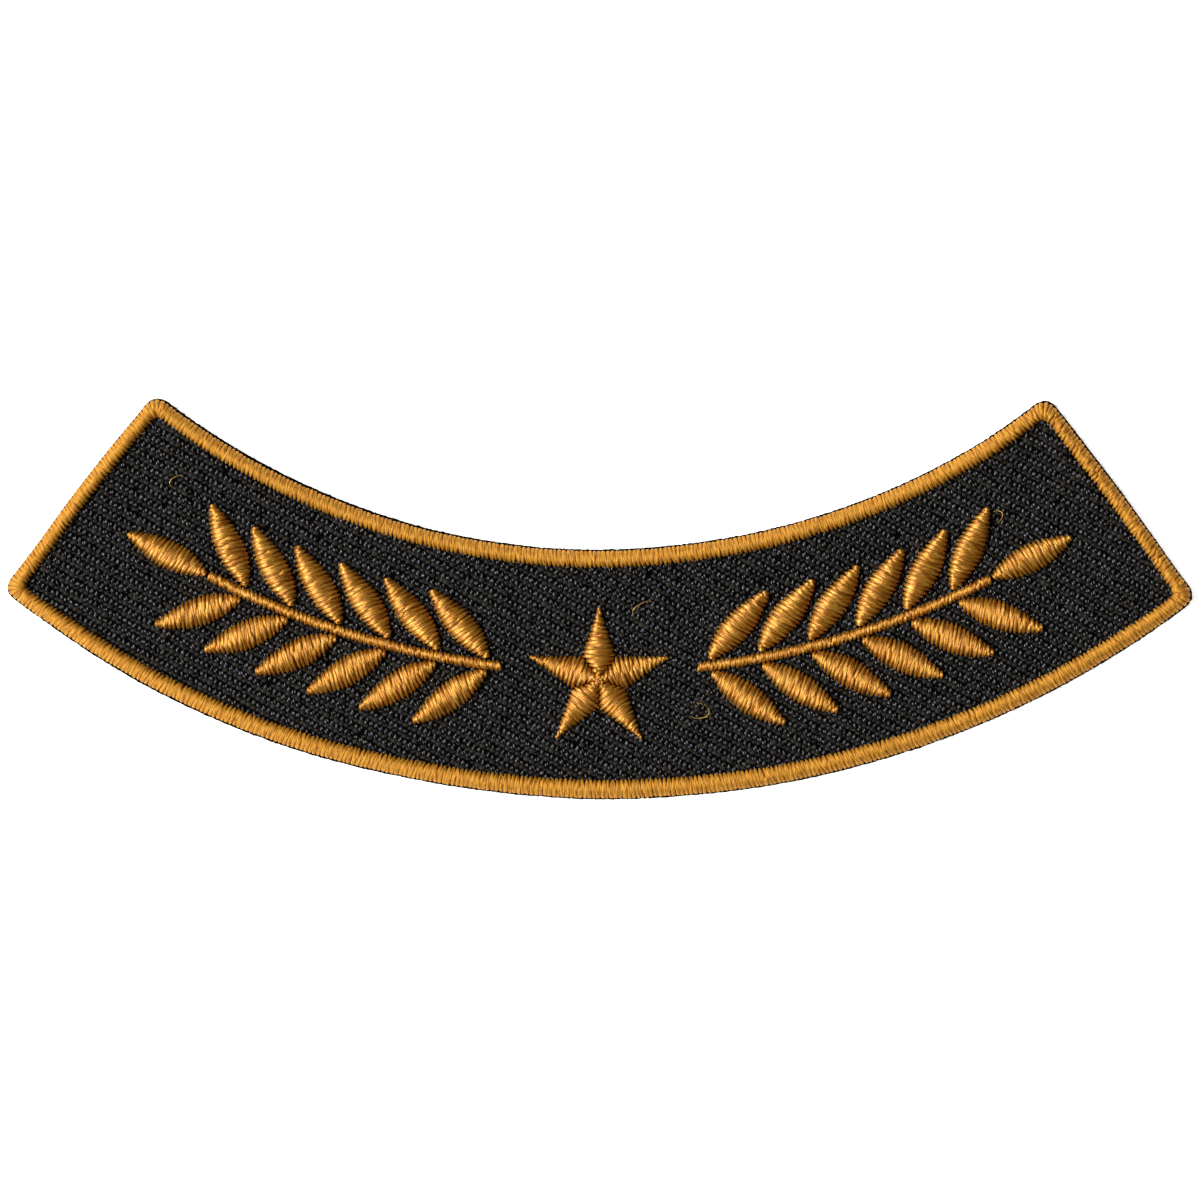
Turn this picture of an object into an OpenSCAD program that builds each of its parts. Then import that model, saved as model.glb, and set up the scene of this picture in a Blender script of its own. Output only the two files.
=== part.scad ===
// Rocker patch: a band of black twill, cut as part of a ring, with a gold satin-stitched
// rim and a raised satin ornament of a star between two leafy sprays.
// It lies on its back: X runs along the band, Y up across it and Z out of its face.
// The origin is in the middle of the patch, on the surface that it lies on.

/* [Cloth] */
// Radius of the long lower edge of the cloth
outer_r = 83.6; // [80:0.1:90]
// Width of the band, from its upper edge to its lower edge
band_w = 21.5; // [20:0.1:23]
// Angle from the middle of the band to each of its ends
half_angle = 37.9; // [36:0.1:42]
// Radius of the four rounded corners of the cloth
corner_r = 1.25; // [1:0.05:1.6]
// Thickness of the twill together with its stiff backing
cloth_t = 1; // [1:0.1:1.5]

/* [Rim] */
// Strip of bare cut cloth that is left outside the rim
rim_inset = 0.15; // [0.1:0.01:0.2]
// Width of the stitched rim
rim_w = 1.4; // [1.2:0.05:1.6]
// Height of the rim above the cloth
rim_h = 0.6; // [0.4:0.05:0.7]

/* [Star] */
// Distance from the centre of the star to each of its five tips
star_r = 6.3; // [5:0.1:6.5]
// Distance from the centre to each notch, as a share of the distance to a tip
star_notch = 0.4; // [0.36:0.01:0.45]
// Height of the middle of the star above the cloth
star_h = 0.95; // [0.6:0.05:1]
// Height of the star's edge above the cloth
star_edge_h = 0.3; // [0.2:0.05:0.4]

/* [Stems] */
// Radius of the arc that the row of ornament is centred on
row_r = 72.7; // [72:0.1:73.5]
// Angle from the middle of the band to the near end of each stem
stem_start = 6.7; // [6:0.1:7]
// Width of the stem
stem_w = 0.9; // [0.7:0.05:1]
// Height of the stem above the cloth
stem_h = 0.45; // [0.35:0.05:0.5]

/* [Leaves] */
// Number of pairs of leaves on each stem
leaf_pairs = 6; // [4:1:6]
// Angle from the middle of the band to the first pair of leaves
first_pair = 7.6; // [7.4:0.1:7.8]
// Angle along the arc from one pair of leaves to the next
pair_step = 3.45; // [3.4:0.05:3.5]
// Length of a leaf
leaf_l = 7.6; // [7:0.1:7.7]
// Width of a leaf at its widest place
leaf_w = 2.6; // [2.2:0.05:2.65]
// Width of a leaf at its two points
leaf_tip_w = 0.4; // [0.3:0.05:0.5]
// Height of a leaf above the cloth
leaf_h = 0.8; // [0.6:0.05:0.9]
// Angle between the stem and the leaves beside it
leaf_lean = 42; // [40:1:43]
// Distance from the middle of the stem to the base of a leaf
leaf_gap = 0.65; // [0.6:0.05:0.8]

/* [Hidden] */
$fn = 96;
inner_r = outer_r - band_w;
// Angles of the corner circles' centres, which lie one corner radius inside each end
outer_corner_angle = half_angle - asin(corner_r / (outer_r - corner_r));
inner_corner_angle = half_angle - asin(corner_r / (inner_r + corner_r));
// The arcs' common centre, set so that the origin is in the middle of the outline
top_drop = (inner_r + corner_r) * cos(inner_corner_angle) - corner_r;
arc_y = (outer_r + top_drop) / 2;
// How far the middle line of the rim lies inside the cut edge
rim_mid = rim_inset + rim_w / 2;
// A corner's circle is this much larger than one that only touches the edges beside it
corner_ease = 0.02;
// Reach of the cuts that mitre the rim's four sections at its corners
mitre_reach = 3 * rim_w;
tall = 2 * cloth_t + 2 * rim_h;
// The star's centre sits a little low, so that its tips share the row's height
star_centre_r = row_r + star_r * (1 - cos(36)) / 2;
// The terminal leaf starts past the last pair, at the far end of the stem
stem_end = first_pair + (leaf_pairs - 0.26) * pair_step;
leaf_steps = 16;
leaf_count = 2 * leaf_pairs + 1;
down = 270;
black = "#2b2b2a";
gold = "#cf8f38";

// Names such as leaf_left_03; odd leaves are above the stem, even ones below, the last at its tip
function leaf_name(side, n) = str("leaf_", side, "_", n < 10 ? "0" : "", n);

// How deep below the cloth the axis of a round-backed column lies, for its half width and height
function sink(half_w, h) = (half_w * half_w - h * h) / (2 * h);

// Half the width of a leaf at a share t of its length: fullest before the middle, with blunt points
function leaf_half_w(t) =
    leaf_tip_w / 2 + (leaf_w - leaf_tip_w) / 2 * pow(max(0, sin(180 * pow(t, 0.9))), 0.9);

// Moves to a place on the band: a radius, and an angle to the right of the middle
module on_arc(r, angle) {
    translate([0, arc_y, 0])
        rotate([0, 0, angle])
            translate([0, -r, 0])
                children();
}

module mirror_if(wanted) {
    mirror([wanted ? 1 : 0, 0, 0])
        children();
}

// The round back of a stitched column, seen along it, with its middle at x = 0
module ridge_profile(w, h) {
    lift = sink(w / 2, h);
    intersection() {
        translate([0, -lift])
            circle(r = lift + h);
        translate([-w / 2, 0])
            square([w, h]);
    }
}

// A ridge that follows an arc of the band between two angles
module arc_ridge(r, from, to, w, h) {
    translate([0, arc_y, cloth_t])
        rotate_extrude(angle = to - from, start = down + from)
            translate([r, 0])
                ridge_profile(w, h);
}

// Keeps what lies above the cloth
module above_cloth(reach, h) {
    intersection() {
        children();
        translate([-reach, -reach, cloth_t])
            cube([2 * reach, 2 * reach, h + 1]);
    }
}

// What a rounded corner leaves of a square one, with its circle's centre at the origin
module corner_offcut(inset) {
    difference() {
        translate([0, 0, -tall])
            cube([2 * corner_r, 2 * corner_r, 3 * tall]);
        translate([0, 0, -2 * tall])
            cylinder(r = corner_r + corner_ease - inset, h = 5 * tall);
    }
}

// The offcut at the lower right-hand corner, with what it cuts drawn in by an inset
module lower_offcut(inset) {
    on_arc(outer_r - corner_r, outer_corner_angle)
        rotate([0, 0, -90])
            corner_offcut(inset);
}

// The offcut at the upper right-hand corner
module upper_offcut(inset) {
    on_arc(inner_r + corner_r, inner_corner_angle)
        corner_offcut(inset);
}

module twill_ground() {
    color(black)
        difference() {
            translate([0, arc_y, 0])
                rotate_extrude(angle = 2 * half_angle, start = down - half_angle)
                    translate([inner_r, 0])
                        square([band_w, cloth_t]);
            for (side = [0, 1])
                mirror([side, 0, 0]) {
                    lower_offcut(0);
                    upper_offcut(0);
                }
        }
}

// One side of the mitre plane through a corner: that of the end, or that of the long edge
module mitre_side(end_side, turn) {
    rotate([0, 0, turn])
        translate([end_side ? 0 : -mitre_reach, -mitre_reach, 0])
            cube([mitre_reach, 2 * mitre_reach, tall]);
}

// What is cut from a section of the rim at the lower right-hand corner
module lower_corner_cut(end_side) {
    on_arc(outer_r, half_angle)
        mitre_side(end_side, 45);
    lower_offcut(rim_inset);
}

// What is cut from a section of the rim at the upper right-hand corner
module upper_corner_cut(end_side) {
    on_arc(inner_r, half_angle)
        mitre_side(end_side, -45);
    upper_offcut(rim_inset);
}

module border_lower() {
    color(gold)
        difference() {
            arc_ridge(outer_r - rim_mid, -half_angle, half_angle, rim_w, rim_h);
            lower_corner_cut(true);
            mirror([1, 0, 0])
                lower_corner_cut(true);
        }
}

module border_upper() {
    color(gold)
        difference() {
            arc_ridge(inner_r + rim_mid, -half_angle, half_angle, rim_w, rim_h);
            upper_corner_cut(true);
            mirror([1, 0, 0])
                upper_corner_cut(true);
        }
}

module border_end(side) {
    color(gold)
        mirror_if(side == "left")
            difference() {
                on_arc(outer_r + rim_w, half_angle)
                    translate([-rim_mid, 0, cloth_t])
                        rotate([90, 0, 180])
                            linear_extrude(height = band_w + 2 * rim_w)
                                ridge_profile(rim_w, rim_h);
                lower_corner_cut(false);
                upper_corner_cut(false);
            }
}

// Ten facets that rise from the star's edge, along its arms and notches, to its middle
module star() {
    edge = [for (k = [0:9])
        (k % 2 == 0 ? star_r : star_r * star_notch) * [cos(90 + 36 * k), sin(90 + 36 * k)]];
    foot = [for (p = edge) [p.x, p.y, cloth_t]];
    brow = [for (p = edge) [p.x, p.y, cloth_t + star_edge_h]];
    peak = [0, 0, cloth_t + star_h];
    heart = [0, 0, cloth_t];
    around = [for (k = [0:9]) [k, (k + 1) % 10]];
    base = [for (e = around) [21, e.x, e.y]];
    sides = [for (e = around) [e.x, 10 + e.x, 10 + e.y, e.y]];
    facets = [for (e = around) [10 + e.x, 20, 10 + e.y]];
    color(gold)
        on_arc(star_centre_r, 0)
            polyhedron(
                points = concat(foot, brow, [peak, heart]),
                faces = concat(base, sides, facets)
            );
}

module stem(side) {
    color(gold)
        mirror_if(side == "left")
            arc_ridge(row_r, stem_start, stem_end, stem_w, stem_h);
}

module leaf_blade() {
    drop = sink(leaf_w / 2, leaf_h);
    above_cloth(leaf_l, leaf_h)
        translate([0, 0, cloth_t - drop])
            rotate([0, 90, 0])
                rotate_extrude()
                    polygon(concat(
                        [[0, 0]],
                        [for (i = [0:leaf_steps])
                            [norm([leaf_half_w(i / leaf_steps), drop]), leaf_l * i / leaf_steps]],
                        [[0, leaf_l]]
                    ));
}

module leaf(side, n) {
    pair = floor((n - 1) / 2);
    at_tip = n == leaf_count;
    turn = at_tip ? 0 : (n % 2 == 1 ? 1 : -1);
    color(gold)
        mirror_if(side == "left")
            on_arc(row_r, at_tip ? stem_end : first_pair + pair * pair_step)
                translate([at_tip ? leaf_gap / 2 : 0, turn * leaf_gap, 0])
                    rotate([0, 0, turn * leaf_lean])
                        leaf_blade();
}

twill_ground();
border_lower();
border_upper();
star();
for (side = ["left", "right"]) {
    border_end(side);
    stem(side);
    for (n = [1:leaf_count])
        leaf(side, n);
}
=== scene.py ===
# %% [markdown]
# # A curved cloth patch with a satin-stitched rim and a leafy spray
#
# The real thing is an embroidered patch 102 mm wide: a curved band of black twill, a thick
# gold satin-stitched rim, and a raised ornament of gold thread on the band. A patch lives
# by its thread. Light runs along every stitch, flares on the slope that faces the lamp and
# dies on the slope behind, so a painted stripe never looks like satin stitch.
#
# This notebook lays every stitch as a small bent tube of thread, and every bit of the weave
# that can be seen as a short bent yarn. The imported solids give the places: they are loaded
# first and never move.

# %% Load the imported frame
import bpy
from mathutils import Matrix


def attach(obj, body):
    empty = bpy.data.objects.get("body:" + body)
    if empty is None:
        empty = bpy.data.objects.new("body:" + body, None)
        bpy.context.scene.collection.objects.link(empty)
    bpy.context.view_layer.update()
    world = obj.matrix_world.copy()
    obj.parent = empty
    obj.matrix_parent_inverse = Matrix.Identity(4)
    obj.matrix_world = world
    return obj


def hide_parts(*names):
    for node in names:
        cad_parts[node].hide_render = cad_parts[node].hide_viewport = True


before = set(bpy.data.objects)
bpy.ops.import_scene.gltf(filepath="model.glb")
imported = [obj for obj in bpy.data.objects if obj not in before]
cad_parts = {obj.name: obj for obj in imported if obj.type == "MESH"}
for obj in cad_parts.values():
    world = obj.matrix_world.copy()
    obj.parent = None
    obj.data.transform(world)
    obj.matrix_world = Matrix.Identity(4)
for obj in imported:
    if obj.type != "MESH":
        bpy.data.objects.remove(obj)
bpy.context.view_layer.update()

# %% [markdown]
# ## Units, random numbers and nodes
#
# The needlework is easiest to think of in millimetres, while Blender works in metres, so
# points are made in millimetres and scaled once, when a mesh is built. Every random number
# comes from one seeded generator, so the patch is the same at each run.

# %% Imports, colours and nodes
import math
import bpy
import numpy as np

MM = 0.001
rng = np.random.default_rng(20)


def linear(hex_colour):
    """The linear colour that Blender's sockets take, from an sRGB hex value."""
    parts = [int(hex_colour[i:i + 2], 16) / 255 for i in (1, 3, 5)]
    flat = [c / 12.92 if c <= 0.04045 else ((c + 0.055) / 1.055) ** 2.4 for c in parts]
    return flat + [1.0]


def add(tree, kind, inputs=None, **settings):
    """Adds one node. An input is a value, or another node's output to link from."""
    made = tree.nodes.new(kind)
    for name, value in settings.items():
        setattr(made, name, value)
    for name, value in (inputs or {}).items():
        if isinstance(value, bpy.types.NodeSocket):
            tree.links.new(value, made.inputs[name])
        else:
            made.inputs[name].default_value = value
    return made


def three_stops(node, colours):
    """Sets three even stops on a colour ramp, from sRGB hex values."""
    node.color_ramp.elements.new(0.5)
    for stop, colour in zip(node.color_ramp.elements, colours):
        stop.color = linear(colour)


def new_material(name):
    """An empty node material with only its output, and that output."""
    material = bpy.data.materials.new(name)
    material.use_nodes = True
    material.node_tree.nodes.clear()
    output = add(material.node_tree, "ShaderNodeOutputMaterial")
    return material, material.node_tree, output


print("gold in linear light:", [round(c, 3) for c in linear("#E3A03A")])

# %% [markdown]
# ## Camera, lamp and floor
#
# The photograph looks straight down on the patch, and its light comes from the left at about
# 45 degrees, from a lamp that is narrow across and long from top to bottom: stitches that run
# across that light flare on their left slopes only. A lamp two metres away is even over the
# whole patch. The surroundings give only a little fill, which keeps the far slopes deep brown.
# A long lens at a distance keeps the view as flat as the photograph's.
#
# The floor is plain pale paper: matt and a little grey. In the photograph it is washed out to
# white, so it also gives off some light of its own, which a brighter lamp could only do by
# burning out the thread as well.

# %% Camera straight above
LENS, SENSOR = 300, 36
VIEW_WIDTH = 102.9           # mm that the picture spans at the height of the cloth
OVER = (0.056, 0.069)        # mm from the middle of the frame to the point under the camera
PATCH_TURN = 0.27            # degrees that the patch is turned in the photograph
camera_data = bpy.data.cameras.new("camera")
camera_data.lens = LENS
camera_data.sensor_width = SENSOR
camera_data.clip_start = 0.01
camera_data.dof.use_dof = False
camera = bpy.data.objects.new("camera", camera_data)
bpy.context.scene.collection.objects.link(camera)
camera.location = (OVER[0] * MM, OVER[1] * MM, (VIEW_WIDTH * LENS / SENSOR + 1) * MM)
camera.rotation_euler = (0, 0, math.radians(PATCH_TURN))
bpy.context.scene.camera = camera
bpy.context.scene.view_settings.view_transform = "Standard"
print("camera height in metres:", round(camera.location.z, 4))

# %% Long narrow lamp on the left, and a dim even surrounding
lamp_data = bpy.data.lights.new("lamp", "AREA")
lamp_data.shape = "RECTANGLE"
lamp_data.size, lamp_data.size_y = 0.35, 3.0
lamp_data.energy = 98  # watts
lamp = bpy.data.objects.new("lamp", lamp_data)
bpy.context.scene.collection.objects.link(lamp)
LAMP_DISTANCE = 2.4
lamp_rise, lamp_side = math.radians(45), math.radians(-3)  # above the cloth, off due left
flat_reach = LAMP_DISTANCE * math.cos(lamp_rise)
lamp.location = (
    -flat_reach * math.cos(lamp_side), -flat_reach * math.sin(lamp_side),
    LAMP_DISTANCE * math.sin(lamp_rise))
lamp.rotation_euler = (0, lamp_rise - math.pi / 2, lamp_side)
world = bpy.data.worlds.new("surroundings")
bpy.context.scene.world = world
world.use_nodes = True
world.node_tree.nodes["Background"].inputs["Color"].default_value = linear("#F8F6F4")
world.node_tree.nodes["Background"].inputs["Strength"].default_value = 0.055
print("lamp at:", [round(x, 3) for x in lamp.location])

# %% Pale floor
floor_material, tree, output = new_material("pale_paper_floor")
paper = add(tree, "ShaderNodeBsdfPrincipled", {
    "Base Color": linear("#F5F5F4"), "Roughness": 0.9,
    "Emission Color": linear("#FFFFFF"), "Emission Strength": 0.9,
})
tree.links.new(paper.outputs[0], output.inputs["Surface"])
floor_mesh = bpy.data.meshes.new("floor")
REACH = 2.0  # metres from the middle to each side
floor_mesh.from_pydata(
    [(-REACH, -REACH, 0), (REACH, -REACH, 0), (REACH, REACH, 0), (-REACH, REACH, 0)],
    [], [(0, 1, 2, 3)])
floor_mesh.materials.append(floor_material)
floor = bpy.data.objects.new("floor", floor_mesh)
bpy.context.scene.collection.objects.link(floor)
floor.location.z = -0.02 * MM  # a hair below the cloth
print("floor is", 2 * REACH, "m wide")

# %% [markdown]
# ## The shape of the band
#
# The cloth is cut as part of a ring: two arcs round one centre, two straight ends that point
# at it, and rounded corners. The rim follows that outline just inside the cut. One function
# that walks round an outline, set in by a distance and with corners of a radius, gives the
# cut edge, the rim's outer side and its inner side, whose corners are almost sharp.
#
# The solids keep that clean shape, but cloth that is sewn and cut by hand wanders: the real
# ends bulge by up to 0.3 mm, and the arcs sway by up to 0.2 mm. So every outline passes
# through one more function, which moves its points outwards by a few measured amounts.

# %% Sizes of the band in millimetres
OUTER_R, INNER_R, HALF_ANGLE = 83.6, 62.1, math.radians(37.9)
CORNER_R, CLOTH_T = 1.25, 1.0
RIM_INSET, RIM_W = 0.15, 1.4
ROW_R = 72.7  # radius of the arc that the ornament is on


def corner_angle(radius, inset_to_centre):
    """Angle of a corner circle's centre that lies this far inside the straight end."""
    return HALF_ANGLE - math.asin(inset_to_centre / radius)


top_drop = (INNER_R + CORNER_R) * math.cos(corner_angle(INNER_R + CORNER_R, CORNER_R))
ARC_Y = (OUTER_R + top_drop - CORNER_R) / 2


def on_ring(radius, angle):
    """Points at a radius, and at angles to the right of the lowest point of the ring."""
    angle = np.asarray(angle, float)
    return np.stack([radius * np.sin(angle), ARC_Y - radius * np.cos(angle)], -1)


print("arc centre at y =", round(ARC_Y, 3), "mm")

# %% How far the real cut wandered off that shape, in mm outwards
LOW_AT = np.radians([-38, -35, -32, -28, -20, -16, -12, -6, -2, 0, 5, 10, 28, 38])
LOW = [-0.15, -0.2, -0.1, 0, 0, -0.08, -0.17, -0.17, -0.1, -0.05, -0.08, 0, 0.03, 0]
HIGH_AT = np.radians([-38, -28, -20, -14, -4, 0, 6, 18, 32, 38])
HIGH = [0.04, 0, -0.05, -0.12, -0.13, -0.1, 0, 0.02, 0, 0.14]
END_AT = [62, 65.5, 68, 72, 75, 78, 80, 83.6]
RIGHT_END = [0.25, 0.3, 0.28, 0.28, 0.16, 0.06, -0.06, -0.1]
LEFT_END = [0.1, 0.2, 0.28, 0.29, 0.24, 0.08, 0.05, 0.03]
FADE_FROM = 0.55  # radians from the middle, where an end's own bulge sets in


def wander(points):
    """Outline points in mm, moved as the real cut wandered."""
    across, down = points[..., 0], ARC_Y - points[..., 1]
    angle, radius = np.arctan2(across, down), np.hypot(across, down)
    share = (2 * radius - OUTER_R - INNER_R) / (OUTER_R - INNER_R)
    low = np.interp(angle, LOW_AT, LOW) * np.clip(share, 0, 1)
    high = np.interp(angle, HIGH_AT, HIGH) * np.clip(-share, 0, 1)
    end = np.where(
        angle > 0, np.interp(radius, END_AT, RIGHT_END), np.interp(radius, END_AT, LEFT_END))
    near_end = np.clip((np.abs(angle) - FADE_FROM) / (HALF_ANGLE - FADE_FROM), 0, 1)
    return on_ring(radius + low - high, angle + np.sign(angle) * near_end * end / radius)


print("the ends bulge by up to", max(RIGHT_END), "mm")

# %% The outline at any inset
def swing(centre, radius, start, end, step):
    """Points on a small arc round a centre, from one direction to another."""
    steps = max(1, math.ceil(radius * abs(end - start) / step))
    turn = np.linspace(start, end, steps + 1)
    return centre + radius * np.stack([np.cos(turn), np.sin(turn)], -1)


def outline(inset, corner, step=0.1):
    """The closed outline, set in from the cut edge, once round against the clock."""
    quarter = math.pi / 2
    low_r, high_r = OUTER_R - inset, INNER_R + inset
    low = corner_angle(low_r - corner, inset + corner)
    high = corner_angle(high_r + corner, inset + corner)
    low_arc = on_ring(low_r, np.linspace(0, low, math.ceil(low_r * low / step)))
    low_corner = swing(on_ring(low_r - corner, low), corner, low - quarter, HALF_ANGLE, step)
    high_corner = swing(
        on_ring(high_r + corner, high), corner, HALF_ANGLE, high + quarter, step)
    gap = high_corner[0] - low_corner[-1]
    ticks = np.linspace(0, 1, math.ceil(np.hypot(*gap) / step) + 1)[1:-1, None]
    high_arc = on_ring(high_r, np.linspace(high, 0, math.ceil(high_r * high / step)))
    half = np.concatenate([
        low_arc, low_corner[1:], low_corner[-1] + ticks * gap, high_corner, high_arc[1:]])
    other = half[::-1] * [-1, 1]
    return wander(np.concatenate([half, other[1:-1]]))


cut_edge_line = outline(0, CORNER_R)
print("cut edge of", len(cut_edge_line), "points")

# %% [markdown]
# ## Laying thread
#
# A thread in a stitch and a yarn in the weave are the same form: a strand that rises out of
# the cloth, arches over and dives back. Curves with a bevel could make them, but thousands of
# them would be slow, and one mesh per motif is what a library wants. So one function sweeps a
# flattened ring along many paths at once. The first and last point of each path are its tips,
# and close the strand.
#
# Each strand gets UVs in real millimetres, across and along, so that the filaments of the
# thread can be drawn at a true size, and a tone, since no two stretches of thread match.

# %% The faces of one strand, and their UVs
THREAD_SIDES, YARN_SIDES, FIBRE_SIDES = 7, 6, 5  # corners of a strand's section
print("corners of a section:", THREAD_SIDES, YARN_SIDES, FIBRE_SIDES)


def strand_faces(sides, rings):
    """Faces between the rings of one strand, and the fans that close its two tips."""
    here, there = np.arange(sides), (np.arange(sides) + 1) % sides
    quads = np.concatenate([
        1 + r * sides + np.stack([here, there, there + sides, here + sides], -1)
        for r in range(rings - 1)])
    last = 1 + (rings - 1) * sides
    first_fan = np.stack([0 * here, 1 + there, 1 + here], -1)
    last_fan = np.stack([last + sides + 0 * here, last + here, last + there], -1)
    return quads, np.concatenate([first_fan, last_fan])


def strand_uvs(sides, rings, girth, along):
    """The UVs of those faces in mm: round each strand, and along it."""
    here = np.arange(sides)
    across = np.tile((here[:, None] + [0, 1, 1, 0]) / sides, (rings - 1, 1))
    rows = np.repeat(np.arange(rings - 1)[:, None] + [1, 1, 2, 2], sides, 0)
    quad_uv = np.stack([across[None] * girth, along[:, rows]], -1)
    fan_across = np.stack([here + 0.5, here + 1, here], -1) / sides
    fan_across = np.concatenate([fan_across, fan_across[:, [0, 2, 1]]])
    fan_rows = np.array([[0, 1, 1]] * sides + [[rings + 1, rings, rings]] * sides)
    fan_uv = np.stack([fan_across[None] * girth, along[:, fan_rows]], -1)
    return quad_uv.reshape(-1, 2), fan_uv.reshape(-1, 2)


# %% Sweep many strands at once
def unit(vectors):
    """The vectors, each made 1 long."""
    return vectors / np.linalg.norm(vectors, axis=-1, keepdims=True)


def strands(paths, half_widths, half_thicks, sides):
    """Vertices, faces and UVs of closed strands. paths is strand x station x 3, in mm."""
    count, stations, _ = paths.shape
    rings = stations - 2
    chord = unit(paths[:, -1, :2] - paths[:, 0, :2])
    side = np.stack([chord[:, 1], -chord[:, 0], np.zeros(count)], -1)[:, None, :]
    up = np.cross(side, unit(paths[:, 2:] - paths[:, :-2]))
    turn = 2 * math.pi * np.arange(sides) / sides - math.pi / 2
    ring = (
        paths[:, 1:-1, None, :]
        + side[:, :, None, :] * (half_widths[..., None] * np.cos(turn))[..., None]
        + up[:, :, None, :] * (half_thicks[..., None] * np.sin(turn))[..., None]
    ).reshape(count, rings * sides, 3)
    points = np.concatenate([paths[:, :1], ring, paths[:, -1:]], 1)
    quads, fans = strand_faces(sides, rings)
    starts = (np.arange(count) * points.shape[1])[:, None, None]
    length = np.linalg.norm(np.diff(paths, axis=1), axis=2).cumsum(1)
    along = np.concatenate([np.zeros((count, 1)), length], 1)
    along = along + rng.uniform(0, 90, (count, 1))  # no two strands start the pattern alike
    girth = 2.4 * (half_widths + half_thicks).max(1)[:, None, None]  # about the way round
    quad_uv, fan_uv = strand_uvs(sides, rings, girth, along)
    return {
        "points": points.reshape(-1, 3),
        "quads": (quads[None] + starts).reshape(-1, 4),
        "fans": (fans[None] + starts).reshape(-1, 3),
        "quad_uv": quad_uv, "fan_uv": fan_uv, "per_strand": points.shape[1],
    }


# %% Tones for strands, and sweeps joined into one
PARTS_OF_A_SWEEP = ("points", "quads", "fans", "quad_uv", "fan_uv", "tone")
print("parts of a sweep:", *PARTS_OF_A_SWEEP)


def own_tones(count, spread):
    """Random numbers for each strand: its tone, its tint and a spare one."""
    return np.stack([rng.normal(0.5, spread, count), rng.random(count), rng.random(count)], -1)


def toned(part, tones):
    """A sweep whose strands each carry three such numbers."""
    return {**part, "tone": np.repeat(tones, part["per_strand"], 0)}


def solid(points, quads, fans, tone):
    """A part without strands, in one tone, with its places in mm as UVs."""
    return {
        "points": points, "quads": quads, "fans": fans,
        "quad_uv": points[quads.ravel()][:, :2], "fan_uv": points[fans.ravel()][:, :2],
        "tone": np.tile([tone, 0.5, 0.5], (len(points), 1)),
    }


def gather(parts):
    """Joins the results of several sweeps, whose tones are already per vertex."""
    shift, joined = 0, {key: [] for key in PARTS_OF_A_SWEEP}
    for part in parts:
        for key in joined:
            grown = part[key] + shift if key in ("quads", "fans") else part[key]
            joined[key].append(grown)
        shift += len(part["points"])
    return {key: np.concatenate(values) for key, values in joined.items()}


# %% One mesh object from a sweep
def build(name, part, material):
    """One mesh object in metres, with its UVs, its tones and smooth shading."""
    mesh = bpy.data.meshes.new(name)
    faces = part["quads"].tolist() + part["fans"].tolist()
    mesh.from_pydata((part["points"] * MM).tolist(), [], faces)
    uv = mesh.uv_layers.new(name="strand")
    uv.uv.foreach_set(
        "vector", np.concatenate([part["quad_uv"], part["fan_uv"]]).ravel())
    tone = mesh.attributes.new("tone", "FLOAT_VECTOR", "POINT")
    tone.data.foreach_set("vector", part["tone"].ravel())
    mesh.polygons.foreach_set("use_smooth", np.ones(len(faces), bool))
    mesh.materials.append(material)
    made = bpy.data.objects.new(name, mesh)
    bpy.context.scene.collection.objects.link(made)
    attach(made, "root")
    triangles = 2 * len(part["quads"]) + len(part["fans"])
    print(f"{name}: {triangles} triangles")
    return made


# %% [markdown]
# ## Gold embroidery thread
#
# The ornament is sewn with trilobal polyester, the No. 40 thread of most machine embroidery:
# two plies of fine bright filaments in a loose twist. It shines as hair does. A highlight is
# tight along the filaments and wide across them, which Principled gives through anisotropy
# once the tangent runs round the strand. The rim is sewn with spun polyester, cut fibres
# twisted like cotton. It is paler, and its stray fibres scatter the light, so it is rougher
# and has almost no clear shine. One function makes both.
#
# The filaments are about 0.02 mm thick, too fine to show at this size, so they are drawn as
# bundles of about 0.085 mm. Polyester has an IOR of about 1.58, and the light that comes back
# out of dyed filaments is golden. A clear gloss would be white, so part of the shine is given
# the tint of a metal, and a thin coat adds the white part of it.

# %% Fine streaks along a strand
BUNDLE = 0.085        # mm from one drawn filament bundle to the next
CHANGES_PER_MM = 1.2  # how often a bundle's tone changes along the thread
TWIST = 14            # degrees that the filaments lean from the thread's own direction
print("filaments are drawn", BUNDLE, "mm thick")


def drawn_out(tree, twist, thickness, changes, roughness):
    """Noise in fine lines along the strands, whose UVs are in millimetres."""
    place = add(tree, "ShaderNodeUVMap", uv_map="strand")
    lay = add(tree, "ShaderNodeMapping", {
        "Vector": place.outputs["UV"],
        "Rotation": (0, 0, math.radians(twist)), "Scale": (1 / thickness, changes, 1)})
    return add(tree, "ShaderNodeTexNoise", {
        "Vector": lay.outputs[0], "Scale": 1.0, "Detail": 2.0, "Roughness": roughness},
        noise_dimensions="2D")


def streaked(tree, pattern, middle, reach, strength):
    """Each strand's own tone with a pattern's streaks on it, and its own numbers."""
    own = add(tree, "ShaderNodeAttribute", attribute_name="tone")
    numbers = add(tree, "ShaderNodeSeparateXYZ", {"Vector": own.outputs["Vector"]})
    streak = add(tree, "ShaderNodeMapRange", {
        "Value": pattern, "From Min": middle - reach, "From Max": middle + reach,
        "To Min": -strength, "To Max": strength})
    tone = add(tree, "ShaderNodeMath", {
        0: streak.outputs[0], 1: numbers.outputs["X"]}, operation="ADD", use_clamp=True)
    return tone, numbers


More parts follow.
